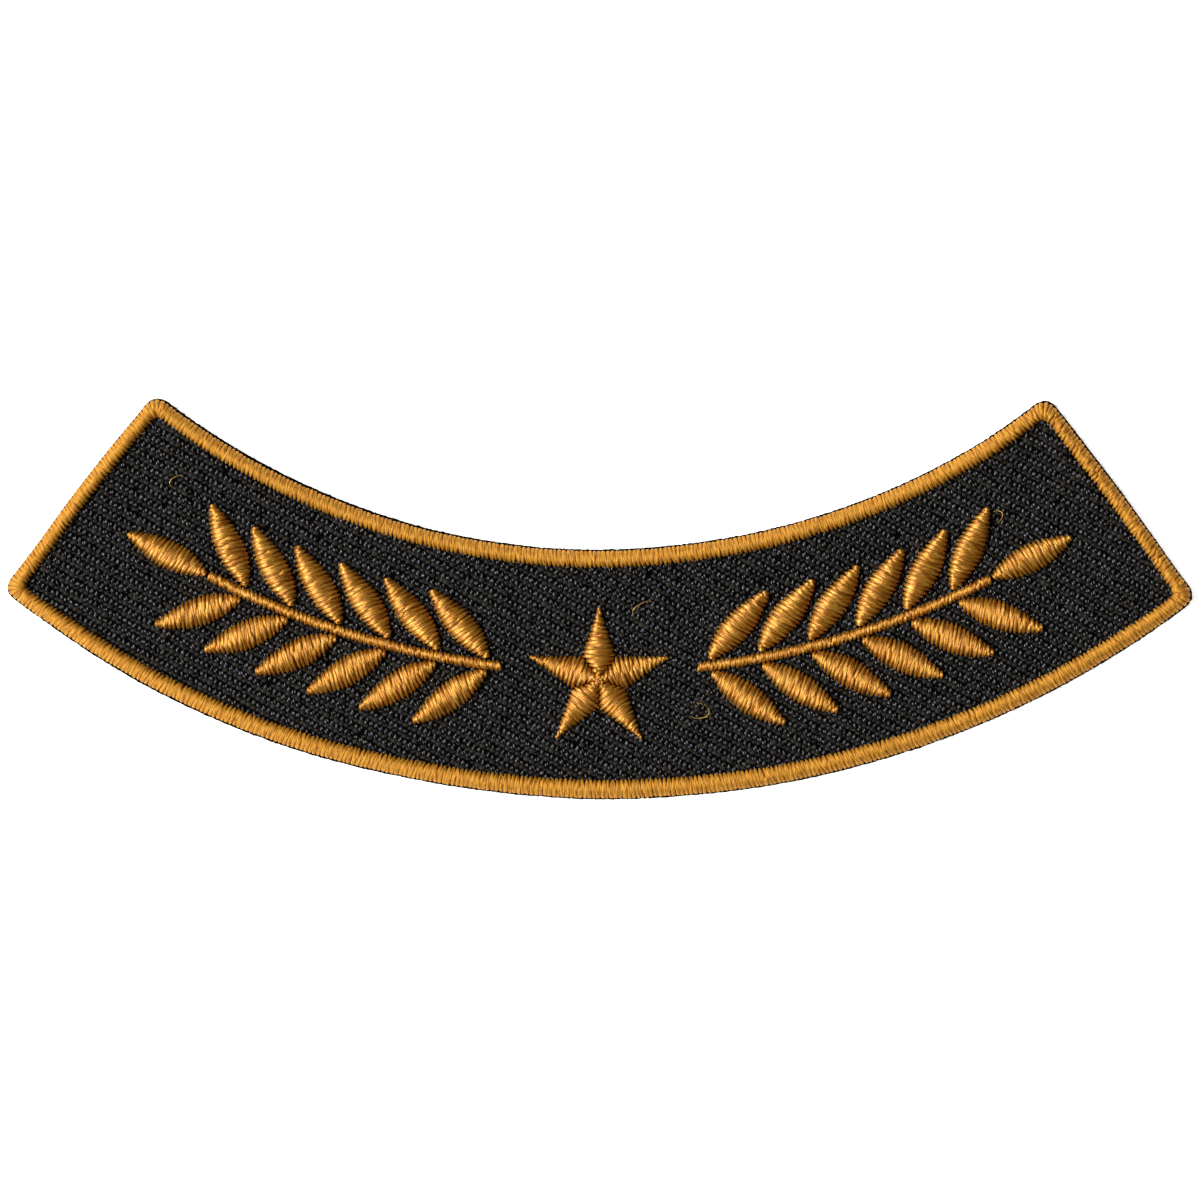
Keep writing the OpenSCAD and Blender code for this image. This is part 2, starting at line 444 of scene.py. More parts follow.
# %% Spun and trilobal polyester thread
def dyed_thread(name, shades, roughness, along, golden, clear):
    """A dyed thread: how far its shine runs along it, and the golden and clear parts of that."""
    material, tree, output = new_material(name)
    filaments = drawn_out(tree, TWIST, BUNDLE, CHANGES_PER_MM, 0.62)
    tone, _ = streaked(tree, filaments.outputs["Fac"], 0.5, 0.2, 0.34)
    ramp = add(tree, "ShaderNodeValToRGB", {"Fac": tone.outputs[0]})
    three_stops(ramp, shades)
    relief = add(tree, "ShaderNodeBump", {
        "Height": filaments.outputs["Fac"], "Strength": 1.0, "Distance": 0.07 * MM})
    round_strand = add(tree, "ShaderNodeTangent", direction_type="UV_MAP", uv_map="strand")
    surface = add(tree, "ShaderNodeBsdfPrincipled", {
        "Base Color": ramp.outputs["Color"], "Roughness": roughness, "IOR": 1.58,
        "Metallic": golden, "Specular IOR Level": 1.0, "Specular Tint": linear("#FFF0C0"),
        "Anisotropic": along, "Coat Weight": clear, "Coat Roughness": 0.42,
        "Tangent": round_strand.outputs[0], "Normal": relief.outputs[0]})
    tree.links.new(surface.outputs[0], output.inputs["Surface"])
    return material


rim_thread = dyed_thread(
    "spun_polyester_thread_gold", ("#A4600C", "#D89526", "#EDB040"),
    roughness=0.72, along=0.45, golden=0.4, clear=0.03)
gold_thread = dyed_thread(
    "trilobal_polyester_thread_gold", ("#924A04", "#D48C1E", "#F6C254"),
    roughness=0.5, along=0.8, golden=0.6, clear=0.5)
print("gold thread:", len(gold_thread.node_tree.nodes), "nodes")

# %% [markdown]
# ## Satin stitch
#
# The needle goes down on one side of the shape, then on the other, a little further on each
# time. Two threads leave each hole, so they pair up in small V shapes at both sides and lie
# evenly in the middle. The stitches lie on padding, so the column is a low dome with a short
# steep step at the needle holes.
#
# A striped bump map on a smooth cushion would be cheaper, but its edge would be a clean line,
# and the pairs of threads at the holes are what makes satin stitch look sewn. So one function
# takes the holes of both sides, with the height of the column at each stitch, and bends a
# thread between each pair. Its slack says how much the threads differ: a tight column is
# almost smooth, and a slack one shows each thread. A second function makes the padding, which
# stops a view through the gaps into an empty column. It has the thread's deepest tone, as
# painted shade in the gaps between the threads.

# %% The section of a padded column
HOLE_STEP = 0.38          # mm between needle holes on one side, as counted in the photograph
THREAD_HALF_W = 0.152     # mm; a 0.3 mm thread that lies flattened by its neighbours
THREAD_HALF_T = 0.08      # mm
NEEDLE_MISS = 0.021       # mm by which a needle hole misses its place
FOOT_H = -0.04            # mm; threads go in a little below the face of the cloth
WALL = 0.22               # share of a column's height that is the step at its sides
CROSSING = np.array([0, 0.012, 0.05, 0.13, 0.27, 0.5, 0.73, 0.87, 0.95, 0.988, 1])
# Share of its size that a thread has on its way: thin at both holes, or at the last one only
PINCH = np.array([0.36, 0.6, 0.86, 1.0, 1.06, 1.0, 0.86, 0.6, 0.36])
OVER_EDGE = np.array([1.0, 1.0, 1.0, 1.0, 1.06, 1.0, 0.86, 0.6, 0.36])


def cushion(places, wall):
    """Height share of a column's section: a short step at both sides, then a low dome."""
    off_middle = np.abs(2 * places - 1)
    return wall * (1 - off_middle ** 10).clip(0) ** 0.5 + (1 - wall) * (1 - off_middle ** 2)


print("a section from hole to crown:", cushion(CROSSING[:6], WALL).round(2))

# %% Threads over the padding
def satin(feet_a, feet_b, crown, wall=WALL, foot=None, pinch=PINCH, slack=0.35, spread=1.0):
    """Threads from feet_a to feet_b, which are stitch x 2 in mm, over crowns in mm."""
    count = len(feet_a)
    foot = np.full(count, FOOT_H) if foot is None else np.asarray(foot, float)
    slack = np.broadcast_to(slack, count)
    missed = rng.normal(0, NEEDLE_MISS, (2, count, 2))
    feet_a, feet_b = feet_a + missed[0], feet_b + missed[1]
    chord = feet_b - feet_a
    aside = unit(chord)[:, ::-1] * [-1, 1]
    bow = rng.normal(0, 0.02, (count, 1, 1)) * np.sin(math.pi * CROSSING)[None, :, None]
    flat = feet_a[:, None] + chord[:, None] * CROSSING[None, :, None] + aside[:, None] * bow
    lift = np.asarray(crown, float) * (1 + rng.normal(0, 0.02, count))
    lift = lift - 0.01 * (np.arange(count) % 2) + rng.normal(0, 0.007, count)  # in turn
    slip = rng.normal(0, slack)[:, None] * CROSSING * (1 - CROSSING)
    height = CLOTH_T + foot[:, None] + (lift - foot)[:, None] * cushion(CROSSING + slip, wall)
    tips = np.abs(2 * CROSSING - 1) > 0.999
    height = np.where(tips[None], CLOTH_T + np.minimum(foot, 0)[:, None] - 0.05, height)
    paths = np.concatenate([flat, height[..., None]], -1)
    size = 1 + rng.normal(0, 0.07, (count, 1))
    wide = THREAD_HALF_W * size * np.reshape(spread, (-1, 1))
    part = strands(paths, wide * pinch, THREAD_HALF_T * pinch / size, THREAD_SIDES)
    return toned(part, own_tones(count, 0.02 + 0.2 * slack))


print("a thread is", 2 * THREAD_HALF_W, "mm wide, every", HOLE_STEP / 2, "mm")

# %% The padding, and the needle's way from side to side
PAD_INSET = 0.17          # mm that the padding stays back from the needle holes
PAD_DEPTH = 0.13          # mm that it stays below the middle of the threads
BELOW = 0.12              # mm that it reaches down into the cloth


def padding(side_a, side_b, crown, wall=WALL, closed=False, first=1.0):
    """A closed cushion below the threads. It is set back at side_a by the share first."""
    width = np.linalg.norm(side_b - side_a, axis=1, keepdims=True)
    back = (side_b - side_a) * np.minimum(PAD_INSET / width, 0.3)
    side_a, side_b = side_a + first * back, side_b - back
    steps = np.array([0.02, 0.12, 0.3, 0.5, 0.7, 0.88, 0.98])
    rise = cushion(steps, wall)
    count, across = len(side_a), len(steps) + 2
    flat = side_a[:, None] + (side_b - side_a)[:, None] * steps[None, :, None]
    top = CLOTH_T + (np.asarray(crown)[:, None] - PAD_DEPTH) * rise[None]
    surface = np.concatenate([flat, top[..., None]], -1)
    low = surface[:, [-1, 0]].copy()
    low[..., 2] = CLOTH_T - BELOW
    ring = np.concatenate([surface, low], 1)
    here = np.arange(count if closed else count - 1) * across
    there = (here + across) % (count * across)
    quads = np.concatenate([
        np.stack([here + k, there + k, there + (k + 1) % across, here + (k + 1) % across], -1)
        for k in range(across)])
    fans = np.zeros((0, 3), int)
    if not closed:
        face = np.array([[0, k, k + 1] for k in range(1, across - 1)])
        fans = np.concatenate([face, face[:, ::-1] + (count - 1) * across])
    # Painted shade: the padding takes the thread's deepest tone, for the shade it lies in
    # between the threads.
    return solid(ring.reshape(-1, 3), quads, fans, tone=0.1)


def zigzag(side_a, side_b):
    """Needle holes that alternate between two sides; both are sampled at each half step."""
    count = len(side_a) - 1
    odd = np.arange(count) % 2 == 1
    feet_a = np.where(odd[:, None], side_a[1:], side_a[:-1])
    feet_b = np.where(odd[:, None], side_b[:-1], side_b[1:])
    return feet_a, feet_b


stitched = []  # both feet of every stitch, to know later what cloth is covered
print("padding stays", PAD_DEPTH, "mm below the threads")

# %% [markdown]
# ## The rim
#
# The rim is one satin column round the whole patch, 1.4 mm wide over a heavy pad. On the
# outside its threads wrap over the edge, so they aren't pinched there. At the corners the
# inner holes bunch up and the threads fan out over the rounded outside, a little looser and
# wider. A step along the rim is weighed between both sides, so the fans stay dense.
#
# An even rim would look machined. On the real one the width drifts by 0.15 mm, the stitches
# lean one way and then the other, the right end is sewn looser, and here and there a hair of
# black cloth is left bare outside. Each of these is a short table of values along the rim.

# %% Two sides of the rim, in step
RIM_H, RIM_WALL = 0.6, 0.08
PROUD = 0.05        # mm that the threads stand outside the rim's solid
INNER_CORNER = 0.3  # mm; radius of the almost sharp corners inside
outer_side = outline(RIM_INSET - PROUD, CORNER_R - RIM_INSET + PROUD)
sharp_side = outline(RIM_INSET + RIM_W - 0.04, INNER_CORNER)
apart = ((outer_side[:, None] - sharp_side[None]) ** 2).sum(2)
inner_side = sharp_side[apart.argmin(1)]
outer_run = np.linalg.norm(np.diff(outer_side, axis=0, append=outer_side[:1]), axis=1)
inner_run = np.linalg.norm(np.diff(inner_side, axis=0, append=inner_side[:1]), axis=1)
run = np.concatenate([[0], np.cumsum(0.75 * outer_run + 0.25 * inner_run)])
stitches = 2 * round(run[-1] / HOLE_STEP)
print("rim of", round(run[-1], 1), "mm with", stitches, "stitches")


def along_rim(side, places):
    """Points of one side of the rim at distances along it, round and round."""
    ring = np.concatenate([side, side[:1]])
    places = np.mod(places, run[-1])
    return np.stack([np.interp(places, run, ring[:, axis]) for axis in (0, 1)], -1)


# %% How the rim drifts, at places in mm along it from the middle of the lower arc
LEAN_AT = [0, 22, 42, 66, 89, 118, 147, 170, 194, 214, 231]
LEANS = [3, 11, 4, 13, 1, 8, 10, -11, -3, -7, 3]  # degrees that the stitches are off square
SHIFT_SHARE = 1.3  # how much of its width the inner side shifts at 45 degrees
WIDE_AT = [0, 25, 45, 59, 73, 80, 115, 150, 158, 172, 184, 205, 231]
WIDER = [0.16, 0.06, 0.0, -0.17, -0.17, 0.03, 0.03, 0.0, -0.14, -0.15, 0.1, 0.13, 0.16]  # mm
BARE_AT = [0, 13, 48, 56, 62, 70, 79, 105, 112, 118, 131, 145, 156, 174, 183, 191, 200, 217, 231]
BARE = [0.02, 0.02, 0, 0.02, 0.04, 0.07, 0.03, 0.04, 0.04, 0.02, 0.07, 0.09, 0.04, 0.01, 0.07,
        0.09, 0.07, 0.03, 0.02]  # mm of black cloth that the rim leaves bare outside it


def rim_edge(places):
    """Outer needle holes at places along the rim."""
    outside = along_rim(outer_side, places)
    inward = unit(along_rim(inner_side, places) - outside)
    return outside + inward * np.interp(np.mod(places, run[-1]), BARE_AT, BARE)[:, None]


def rim_side(places, shift):
    """Inner needle holes at places along the rim, shifted by the lean of the stitches."""
    outside = along_rim(outer_side, places)
    inside = along_rim(inner_side, places - shift)
    wider = np.interp(np.mod(places, run[-1]), WIDE_AT, WIDER)[:, None]
    return outside + (inside - outside) * (1 + wider / RIM_W)


print("width of the rim:", [round(RIM_W + drift(WIDER), 2) for drift in (min, max)], "mm")

# %% Stitch the rim
places = np.linspace(0, run[-1], stitches + 1)
rim_outer = rim_edge(places)
lean = SHIFT_SHARE * RIM_W * np.tan(np.radians(np.interp(places, LEAN_AT, LEANS)))
rim_inner = rim_side(places, lean)
rim_feet = zigzag(rim_outer, rim_inner)
stitched.append(rim_feet)
pad_places = np.linspace(0, run[-1], 520, endpoint=False)
rim_pitch = np.linalg.norm(np.diff(rim_outer, axis=0), axis=1)
fanned = np.clip(rim_pitch / (HOLE_STEP / 2), 1, 1.15)  # above 1 in the corners
LOOSE_AT = [0, 54, 57, 76, 79, 231]  # the right end of the patch was sewn looser
looser = np.interp(places[:-1], LOOSE_AT, [0, 0, 0.45, 0.45, 0, 0])
rim_threads = satin(
    *rim_feet, np.full(stitches, RIM_H - 0.08), wall=RIM_WALL, pinch=OVER_EDGE,
    slack=0.12 + 2.5 * (fanned - 1) + looser, spread=fanned - 0.12 * looser)
rim_pad = padding(
    rim_edge(pad_places), rim_side(pad_places, 0),
    np.full(len(pad_places), RIM_H - 0.09), RIM_WALL, closed=True, first=0.15)
border_satin = build("border_satin", gather([rim_threads, rim_pad]), rim_thread)
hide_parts("border_lower", "border_upper", "border_left", "border_right")

# %% [markdown]
# ## The spray
#
# The ornament is a five-pointed star in the middle and a leafy spray on either side, each
# on one arc. Each arm of the star is a kite, stitched straight across from its tip down to
# the centre, so the five arms meet in valleys. Stems are narrow ropes of satin, and leaves
# are short wide columns whose stitches lean a little towards the tip. Each is only two lines
# of needle holes and a height, and the satin function does the rest.

# %% The star, arm by arm
STAR_R, STAR_NOTCH, STAR_H, STAR_EDGE_H = 6.3, 0.4, 0.95, 0.3
TIP_HALF_W, VALLEY_H = 0.13, 0.22  # mm; at the tips, and where the arms meet
THREAD_ROOM = 0.1                  # mm of the solid's height that is left to the threads
NOTCH_TURN = math.radians(36)      # from a tip to the notch beside it
STAR_CENTRE = on_ring(ROW_R + STAR_R * (1 - math.cos(NOTCH_TURN)) / 2, 0)
notch_along = STAR_R * STAR_NOTCH * math.cos(NOTCH_TURN)
notch_aside = STAR_R * STAR_NOTCH * math.sin(NOTCH_TURN)


def star_crown(reach):
    """Height of an arm at a distance from the star's centre."""
    return STAR_EDGE_H + (STAR_H - STAR_EDGE_H) * (1 - reach / STAR_R) - THREAD_ROOM


def star_arm(direction):
    """Threads and padding of one kite-shaped arm that points in a direction."""
    ahead = np.array([math.cos(direction), math.sin(direction)])
    aside = ahead[::-1] * [-1, 1]
    reach = np.arange(0.08, STAR_R - 0.1, HOLE_STEP / 2)
    half = np.where(
        reach < notch_along, notch_aside * reach / notch_along,
        notch_aside * (STAR_R - reach) / (STAR_R - notch_along))
    half = np.maximum(half + 0.02, TIP_HALF_W)
    spine = STAR_CENTRE + reach[:, None] * ahead
    side_a, side_b = spine + half[:, None] * aside, spine - half[:, None] * aside
    feet = zigzag(side_a, side_b)
    middle = (reach[1:] + reach[:-1]) / 2
    foot = np.where(middle < notch_along, VALLEY_H * (1 - middle / notch_along), FOOT_H)
    stitched.append(feet)
    return [
        satin(*feet, star_crown(middle), foot=foot),
        padding(side_a, side_b, star_crown(reach))]


star_parts = [p for k in range(5) for p in star_arm(math.radians(90 + 72 * k))]
star_satin = build("star_satin", gather(star_parts), gold_thread)
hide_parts("star")

# %% Stems: satin ropes along the arc
STEM_START, FIRST_PAIR, PAIR_STEP, PAIRS = 6.7, 7.6, 3.45, 6
STEM_END = FIRST_PAIR + (PAIRS - 0.26) * PAIR_STEP
STEM_W, STEM_H, STEM_LEAN = 0.9, 0.45, 0.12
stem_length = ROW_R * math.radians(STEM_END - STEM_START)
ticks = np.radians(np.linspace(STEM_START, STEM_END, round(2 * stem_length / HOLE_STEP) + 1))
lean = STEM_LEAN / ROW_R
sides_of_patch = {"left": np.array([-1, 1]), "right": np.array([1, 1])}
for side, flip in sides_of_patch.items():
    side_a = on_ring(ROW_R + STEM_W / 2, ticks - lean) * flip
    side_b = on_ring(ROW_R - STEM_W / 2, ticks + lean) * flip
    feet = zigzag(side_a, side_b)
    stitched.append(feet)
    ropes = satin(*feet, np.full(len(feet[0]), STEM_H - 0.05))
    pad = padding(side_a, side_b, np.full(len(side_a), STEM_H - 0.07))
    stem = build(f"stem_{side}_satin", gather([ropes, pad]), gold_thread)
    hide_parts(f"stem_{side}")

# %% Leaves: short wide columns that lean from the stem
LEAF_L, LEAF_W, LEAF_TIP_W, LEAF_H = 7.6, 2.6, 0.4, 0.8
LEAF_EDGE_H, SLANT = 0.14, 0.16  # mm at the tips; share of its half width a stitch slants
LEAF_LEAN, LEAF_GAP = math.radians(42), 0.65


def leaf_half_width(share):
    """Half the width at a share of the length, fullest before the middle."""
    full = np.sin(math.pi * np.clip(share, 0, 1) ** 0.9).clip(0) ** 0.9
    return LEAF_TIP_W / 2 + (LEAF_W - LEAF_TIP_W) / 2 * full


def leaf_place(along, across, number):
    """Points of a leaf on the patch's right side, from places along and across it."""
    at_tip = number == 2 * PAIRS + 1
    turn = 0 if at_tip else (1 if number % 2 else -1)
    pair = (number - 1) // 2
    angle = math.radians(STEM_END if at_tip else FIRST_PAIR + pair * PAIR_STEP)
    lean = turn * LEAF_LEAN
    right = LEAF_GAP / 2 if at_tip else 0.0
    right = right + along * math.cos(lean) - across * math.sin(lean)
    inward = turn * LEAF_GAP + along * math.sin(lean) + across * math.cos(lean)
    out = on_ring(1, angle) - on_ring(0, angle)
    tangent = np.array([math.cos(angle), math.sin(angle)])
    return on_ring(ROW_R, angle) + np.outer(right, tangent) - np.outer(inward, out)


for side, flip in sides_of_patch.items():
    for number in range(1, 2 * PAIRS + 2):
        reach = np.arange(0.05, LEAF_L - 0.02, HOLE_STEP / 2)
        half = leaf_half_width(reach / LEAF_L)
        slant = SLANT * half
        side_a = leaf_place(reach - slant, half, number) * flip
        side_b = leaf_place(reach + slant, -half, number) * flip
        feet = zigzag(side_a, side_b)
        stitched.append(feet)
        bulge = (half / (LEAF_W / 2)) ** 0.6
        crown = LEAF_EDGE_H + (LEAF_H - THREAD_ROOM - LEAF_EDGE_H) * bulge
        blade = satin(*feet, (crown[1:] + crown[:-1]) / 2)
        pad = padding(side_a, side_b, crown)
        leaf = build(f"leaf_{side}_{number:02d}_satin", gather([blade, pad]), gold_thread)
        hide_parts(f"leaf_{side}_{number:02d}")

# %% [markdown]
# ## Black twill
#
# The cloth is a firm polyester twill, the usual ground of patches. Each warp yarn comes up one
# pick lower than its neighbour did, which draws the diagonal ribs. What shows at each crossing
# is a dull flat bit of weft, the bright crown of a warp yarn above it and a dark gap below.
# The warp looks like a twisted yarn of two plies, as each crown is a pair of slanted glints.
#
# A printed weave would look flat next to the real relief, and a bump map would leave no dark
# gaps. So each bit of weft and each ply of a crown is a small strand of its own, over a plain
# plate that stands for the black yarns beneath and the stiff backing. Black cloth is mostly
# seen by its shine, so the warp is a bright yarn and the weft a dull one. The plate is nearly
# black, darker than both: partly black yarn, partly painted shade for the deep gaps between the
# floats.

# %% The cloth plate, with a slightly uneven cut edge
PLATE_TOP = CLOTH_T - 0.15
CUT_SHIFT = np.array([0.05, 0.0])  # mm; the cut lies a little to the right of the rim
CUT_OUT = 0.045                    # mm that the cloth was cut outside the rim's own line


def band_reach(angle, edge, sign):
    """Radius of an edge at an angle, with its rounded corner. The outer edge has sign 1."""
    centre_r = edge - sign * CORNER_R
    past = np.abs(angle) - corner_angle(centre_r, CORNER_R)
    inside = np.clip(CORNER_R ** 2 - (centre_r * np.sin(past)) ** 2, 0, None)
    rounded = centre_r * np.cos(past) + sign * np.sqrt(inside)
    return np.where(past > 0, rounded, edge)


low_corner = corner_angle(OUTER_R - CORNER_R, CORNER_R)
sweep = np.linspace(-low_corner, low_corner, 480)
corner = np.arcsin(CORNER_R * np.sin(np.linspace(0, math.pi / 2, 11)[1:]) / (OUTER_R - CORNER_R))
sweep = np.concatenate([-low_corner - corner[::-1], sweep, low_corner + corner])
near = band_reach(sweep, INNER_R, -1) - CUT_OUT
far = band_reach(sweep, OUTER_R, 1) + CUT_OUT
shares = np.linspace(0, 1, 13)
radii = near[:, None] + (far - near)[:, None] * shares[None]
grid = on_ring(radii, sweep[:, None])
grid[:, [0, -1]] += rng.normal(0, 0.02, (len(sweep), 2, 2))
grid = wander(grid) + CUT_SHIFT
rows, columns = radii.shape
print("cloth plate of", rows, "by", columns, "points")

# %% Bright and dull black yarn, and a near-black one with painted shade
FIBRE_SIZE = 0.05    # mm; drawn coarser than the real fibres of 0.02 mm, which wouldn't show
FIBRE_TWIST = 20     # degrees that the fibres lean from the yarn's own direction
FIBRE_CHANGES = 2.2  # how often a fibre's tone changes in a millimetre
FUZZ_SIZE = 0.14     # mm; lumps of the crimped filaments, which break up the shine


def twill_yarn(name, shades, tint_range, shine, roughness):
    """Black polyester yarn. Each strand has a tone and a tint of its own, cold or warm."""
    material, tree, output = new_material(name)
    fibres = drawn_out(tree, FIBRE_TWIST, FIBRE_SIZE, FIBRE_CHANGES, 0.6)
    spot = add(tree, "ShaderNodeTexCoord")
    fuzz = add(tree, "ShaderNodeTexNoise", {
        "Vector": spot.outputs["Object"], "Scale": 1 / (FUZZ_SIZE * MM), "Detail": 1.0})
    uneven = add(tree, "ShaderNodeMath", {
        0: fibres.outputs["Fac"], 1: fuzz.outputs["Fac"]}, operation="ADD")
    tone, numbers = streaked(tree, uneven.outputs[0], 1.0, 0.3, 0.5)
    ramp = add(tree, "ShaderNodeValToRGB", {"Fac": tone.outputs[0]})
    tints = add(tree, "ShaderNodeValToRGB", {"Fac": numbers.outputs["Y"]})
    three_stops(ramp, shades)
    three_stops(tints, tint_range)
    tinted = add(tree, "ShaderNodeMix", {
        0: 1.0, 6: ramp.outputs["Color"], 7: tints.outputs["Color"]},  # share, two colours
        data_type="RGBA", blend_type="MULTIPLY")
    relief = add(tree, "ShaderNodeBump", {
        "Height": uneven.outputs[0], "Strength": 1.0, "Distance": 0.018 * MM})
    round_strand = add(tree, "ShaderNodeTangent", direction_type="UV_MAP", uv_map="strand")
    surface = add(tree, "ShaderNodeBsdfPrincipled", {
        "Base Color": tinted.outputs[2], "Roughness": roughness, "IOR": 1.58,
        "Specular IOR Level": shine, "Anisotropic": 0.3, "Tangent": round_strand.outputs[0],
        "Normal": relief.outputs[0]})
    tree.links.new(surface.outputs[0], output.inputs["Surface"])
    return material


black_warp = twill_yarn(
    "bright_black_polyester_warp_yarn", ("#121114", "#252427", "#424145"),
    ("#E0E8FF", "#F4F6FA", "#FFECE6"), 0.78, 0.34)
black_weft = twill_yarn(
    "dull_black_polyester_weft_yarn", ("#090807", "#161411", "#282621"),
    ("#F0F6E0", "#FFFAE6", "#FFF0D8"), 0.25, 0.6)
# Painted shade: the plate's yarn is darker than warp and weft, and cool in tint, for the shade
# in the deep gaps between the floats.
black_ground_with_painted_shade = twill_yarn(
    "black_yarns_below_and_painted_shade", ("#020202", "#040404", "#070706"),
    ("#E6ECFF", "#F4F6FA", "#F4F6FA"), 0.02, 0.7)
print("a black yarn:", len(black_warp.node_tree.nodes), "nodes")

# %% The fused backing on the plate's underside
FELT_SIZE, POINT_STEP = 0.35, 1.1  # mm; lumps of pressed fibre, and the dots that fuse them


def stiff_backing():
    """Fused non-woven stiffener: matt black fibres pressed at random, a little mottled."""
    material, tree, output = new_material("fused_nonwoven_backing")
    place = add(tree, "ShaderNodeTexCoord")
    felt = add(tree, "ShaderNodeTexNoise", {
        "Vector": place.outputs["Object"], "Scale": 1 / (FELT_SIZE * MM), "Detail": 4.0})
    fused = add(tree, "ShaderNodeTexVoronoi", {
        "Vector": place.outputs["Object"], "Scale": 1 / (POINT_STEP * MM)})
    ramp = add(tree, "ShaderNodeValToRGB", {"Fac": felt.outputs["Fac"]})
    ramp.color_ramp.elements[0].color = linear("#101011")
    ramp.color_ramp.elements[1].color = linear("#2C2C2E")
    dots = add(tree, "ShaderNodeMath", {
        0: felt.outputs["Fac"], 1: fused.outputs["Distance"]}, operation="ADD")
    relief = add(tree, "ShaderNodeBump", {
        "Height": dots.outputs[0], "Strength": 0.6, "Distance": 0.05 * MM})
    surface = add(tree, "ShaderNodeBsdfPrincipled", {
        "Base Color": ramp.outputs["Color"], "Roughness": 0.85,
        "Sheen Weight": 0.15, "Normal": relief.outputs[0]})
    tree.links.new(surface.outputs[0], output.inputs["Surface"])
    return material


backing = stiff_backing()
print("backing:", len(backing.node_tree.nodes), "nodes")

# %% The cloth: a closed plate of two faces and a wall round them
def plate(grid, top, bottom):
    """A closed plate from a grid of points that runs along the band and across it."""
    rows, columns, _ = grid.shape
    flat = grid.reshape(-1, 2)
    points = np.concatenate([np.insert(flat, 2, z, axis=1) for z in (top, bottom)])
    index = np.arange(rows * columns).reshape(rows, columns)
    face = np.stack([index[:-1, :-1], index[:-1, 1:], index[1:, 1:], index[1:, :-1]], -1)
    face = face.reshape(-1, 4)
    rim = np.concatenate([
        index[:-1, -1], index[-1, :0:-1], index[:0:-1, 0], index[0, :-1]])
    after = np.roll(rim, -1)
    below = len(flat)
    wall = np.stack([rim + below, after + below, after, rim], -1)
    quads = np.concatenate([face, face[:, ::-1] + below, wall])
    return solid(points, quads, np.zeros((0, 3), int), tone=0.3)


# The plate's top is partly black yarn, partly painted shade in the gaps between the floats.
twill_cloth = build("twill_cloth", plate(grid, PLATE_TOP, 0.0), black_ground_with_painted_shade)
twill_cloth.data.materials.append(backing)
for face in twill_cloth.data.polygons:
    face.material_index = int(face.normal.z < -0.5)
twill_cloth.data.set_sharp_from_angle(angle=math.radians(40))
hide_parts("twill_ground")

# %% Where the yarns cross
WARP_STEP = np.array([0.0416, 0.918])     # mm to the next crossing on the same warp yarn
NEXT_WARP = np.array([0.4126, -0.2251])   # mm to the one beside it on the next warp yarn
RIM_EDGE = RIM_INSET + RIM_W
UNDER_RIM = 0.45                          # mm that the weave runs on under the rim
CROWN_UP = 0.36                           # mm from a bit of weft up to its warp crown
across, along = np.meshgrid(np.arange(-130, 131), np.arange(-60, 61), indexing="ij")
spots = across.reshape(-1, 1) * NEXT_WARP + along.reshape(-1, 1) * WARP_STEP


def covered(points, feet_a, feet_b, margin=0.34, near=0.16):
    """Which points lie under stitches, further than a margin from the stitches' feet."""
    found = np.zeros(len(points), bool)
    chord = feet_b - feet_a
    length = np.linalg.norm(chord, axis=1)
    wide = length > 2.4 * margin
    start, chord, length = feet_a[wide], chord[wide], length[wide]
    low = np.minimum(feet_a, feet_b).min(0) - 0.2
    high = np.maximum(feet_a, feet_b).max(0) + 0.2
    close = np.flatnonzero(((points > low) & (points < high)).all(1))
    gap = points[close, None] - start[None]
    run = (gap * chord[None]).sum(2) / length
    off = np.abs(gap[..., 0] * chord[None, :, 1] - gap[..., 1] * chord[None, :, 0]) / length
    hit = (run > margin) & (run < length - margin) & (off < near)
    found[close] = hit.any(1)
    return found


def showing(points):
    """The points that lie inside the rim and are not under the ornament."""
    from_centre = points - [0, ARC_Y]
    radius = np.linalg.norm(from_centre, axis=1)
    angle = np.arctan2(from_centre[:, 0], -from_centre[:, 1])
    room = np.minimum.reduce([
        OUTER_R - RIM_EDGE - radius, radius - INNER_R - RIM_EDGE,
        radius * np.sin(HALF_ANGLE - np.abs(angle)) - RIM_EDGE])
    points = points[(np.abs(angle) < HALF_ANGLE) & (room > -UNDER_RIM)]
    hidden = np.zeros(len(points), bool)
    for feet in stitched[1:]:
        hidden |= covered(points, *feet)
    return points[~hidden]


weft_spots = showing(spots)
warp_spots = showing(spots + [0.0, CROWN_UP])
print(len(weft_spots), "bits of weft and", len(warp_spots), "warp crowns show")

# %% Lay the plies of the warp crowns, and the bits of weft between them
def yarns(spots, plies, length, places, heights, widths, thicks, turn, jitter):
    """Short bent yarns at spots, along a direction in radians, that dive at both ends."""
    spots = (spots[:, None] + np.array(plies)[None]).reshape(-1, 2)
    count = len(spots)
    swerve = turn + rng.normal(0, 0.18, count)
    ahead = np.stack([np.cos(swerve), np.sin(swerve)], -1)
    spots = spots + rng.normal(0, jitter, (count, 2))
    reach = length * (1 + rng.normal(0, 0.08, count))
    flat = spots[:, None] + ahead[:, None] * (np.array(places)[:, None] * reach[:, None, None])
    level = CLOTH_T + np.array(heights) + rng.normal(0, 0.034, (count, 1))
    size = 1 + rng.normal(0, 0.17, (count, 1))
    short = strands(
        np.concatenate([flat, level[..., None]], -1),
        np.array(widths) * size, np.array(thicks) * size, YARN_SIDES)
    return toned(short, own_tones(count, 0.24))


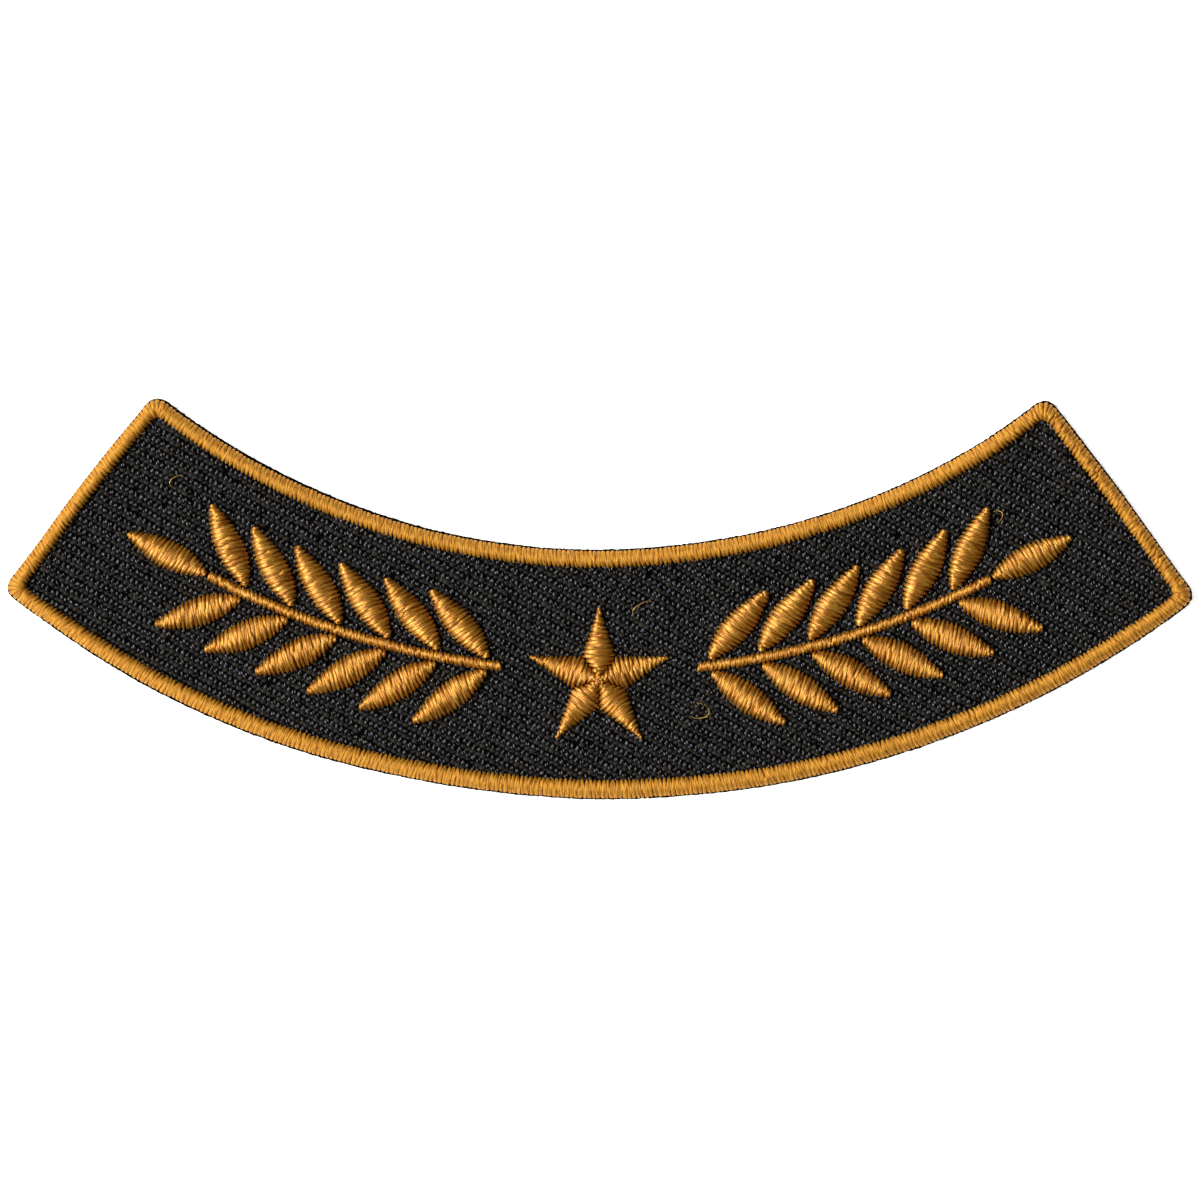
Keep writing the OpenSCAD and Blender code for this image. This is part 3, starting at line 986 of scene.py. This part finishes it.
WARP = dict(
    plies=[(-0.04, -0.02), (0.085, 0.075)], length=0.44, places=[-0.5, -0.3, 0.0, 0.28, 0.5],
    heights=[-0.36, -0.11, -0.02, -0.1, -0.36], widths=[0.1, 0.12, 0.095],
    thicks=[0.09, 0.11, 0.09], turn=math.radians(110), jitter=0.036)
WEFT = dict(
    plies=[(0, 0)], length=0.57, places=[-0.5, -0.46, -0.15, 0.2, 0.46, 0.5],
    heights=[-0.3, -0.12, -0.11, -0.11, -0.12, -0.3], widths=[0.185, 0.205, 0.205, 0.185],
    thicks=[0.05, 0.055, 0.055, 0.05], turn=math.radians(-4), jitter=0.029)
for kind, found, form, yarn in (
        ("warp", warp_spots, WARP, black_warp), ("weft", weft_spots, WEFT, black_weft)):
    for side, chosen in {"left": found[:, 0] < 0, "right": found[:, 0] >= 0}.items():
        shown = build(f"twill_{kind}_{side}", gather([yarns(found[chosen], **form)]), yarn)

# %% [markdown]
# ## The cut edge and a few loose ends
#
# The cloth was cut close outside the rim, and the ends of its yarns stick out of the cut,
# thick ones close by and single fibres further out. Blender's hair could grow them, but the
# strands of the stitches serve as well, and stay plain meshes. They follow the outline at
# random places, and more show on the right. A few gold filaments have come loose and stand up
# in small loops, as they do on any used or new patch.

# %% Frayed yarn ends round the cut edge
def frayed(number, length, reach_out, half_width, bend):
    """Short strands from inside the cut edge to a little outside it."""
    place = rng.integers(0, len(cut_edge_line), number)
    here = cut_edge_line[place] + CUT_SHIFT
    run = unit(np.roll(cut_edge_line, -2, 0)[place] - np.roll(cut_edge_line, 2, 0)[place])
    outward = run[:, ::-1] * [1, -1]
    shows = outward[:, 0] > rng.uniform(-1.1, 0.6, number)  # few that point to the left
    here, run, outward, number = here[shows], run[shows], outward[shows], shows.sum()
    lean = rng.normal(0, bend, (number, 1))
    way = unit(outward + run * lean)
    end = here + outward * rng.uniform(*reach_out, (number, 1))
    steps = np.array([-1, -0.66, -0.33, -0.08, 0])[None, :, None]
    size = length * rng.uniform(0.7, 1.3, (number, 1, 1))
    curl = run[:, None] * rng.normal(0, bend * 0.12, (number, 1, 1)) * steps ** 2
    flat = end[:, None] + way[:, None] * steps * size + curl
    level = rng.uniform(0.12, 0.8, (number, 1)) + rng.normal(0, 0.03, (number, 5))
    paths = np.concatenate([flat, level[..., None]], -1)
    width = half_width * rng.uniform(0.7, 1.3, (number, 1)) * np.array([[1, 1, 0.7]])
    part = strands(paths, width, width * 0.8, FIBRE_SIDES)
    return toned(part, own_tones(number, 0.2))


cut_edge = build("cut_edge", gather([
    frayed(2200, 0.3, (-0.12, 0.07), 0.045, 0.35),
    frayed(1300, 0.45, (0.0, 0.2), 0.014, 0.9)]), black_warp)

# %% Loose gold filaments: centre, radius, start and end in degrees, height
FILAMENT_HALF_W = 0.034  # mm; some filaments that stick together
LOOPS = [
    ((8.6, -9.4), 0.75, 200, 480, 0.45), ((-36.2, 10.0), 0.6, 20, 260, 0.4),
    ((28.2, 4.6), 0.8, 150, 400, 0.4), ((3.9, -0.9), 0.9, 40, 235, 0.35),
    ((-18.8, -1.2), 0.55, 10, 200, 0.3), ((33.9, 7.3), 0.6, -70, 120, 0.35),
]
filaments = []
for centre, size, start, end, rise in LOOPS:
    turn = np.radians(np.linspace(start, end, 15))
    swell = size * (1 + 0.18 * np.sin(2.3 * turn))
    flat = np.array(centre) + swell[:, None] * np.stack([np.cos(turn), np.sin(turn)], -1)
    level = CLOTH_T - BELOW + rise * np.sin(np.linspace(0, math.pi, 15)) ** 0.7
    path = np.concatenate([flat, level[:, None]], -1)[None]
    thin = np.full((1, 13), FILAMENT_HALF_W)
    loop = strands(path, thin, thin, FIBRE_SIDES)
    filaments.append(toned(loop, [[1.1, 0.5, 0.5]]))  # paler than any stitch
loose = build("loose_filaments", gather(filaments), gold_thread)
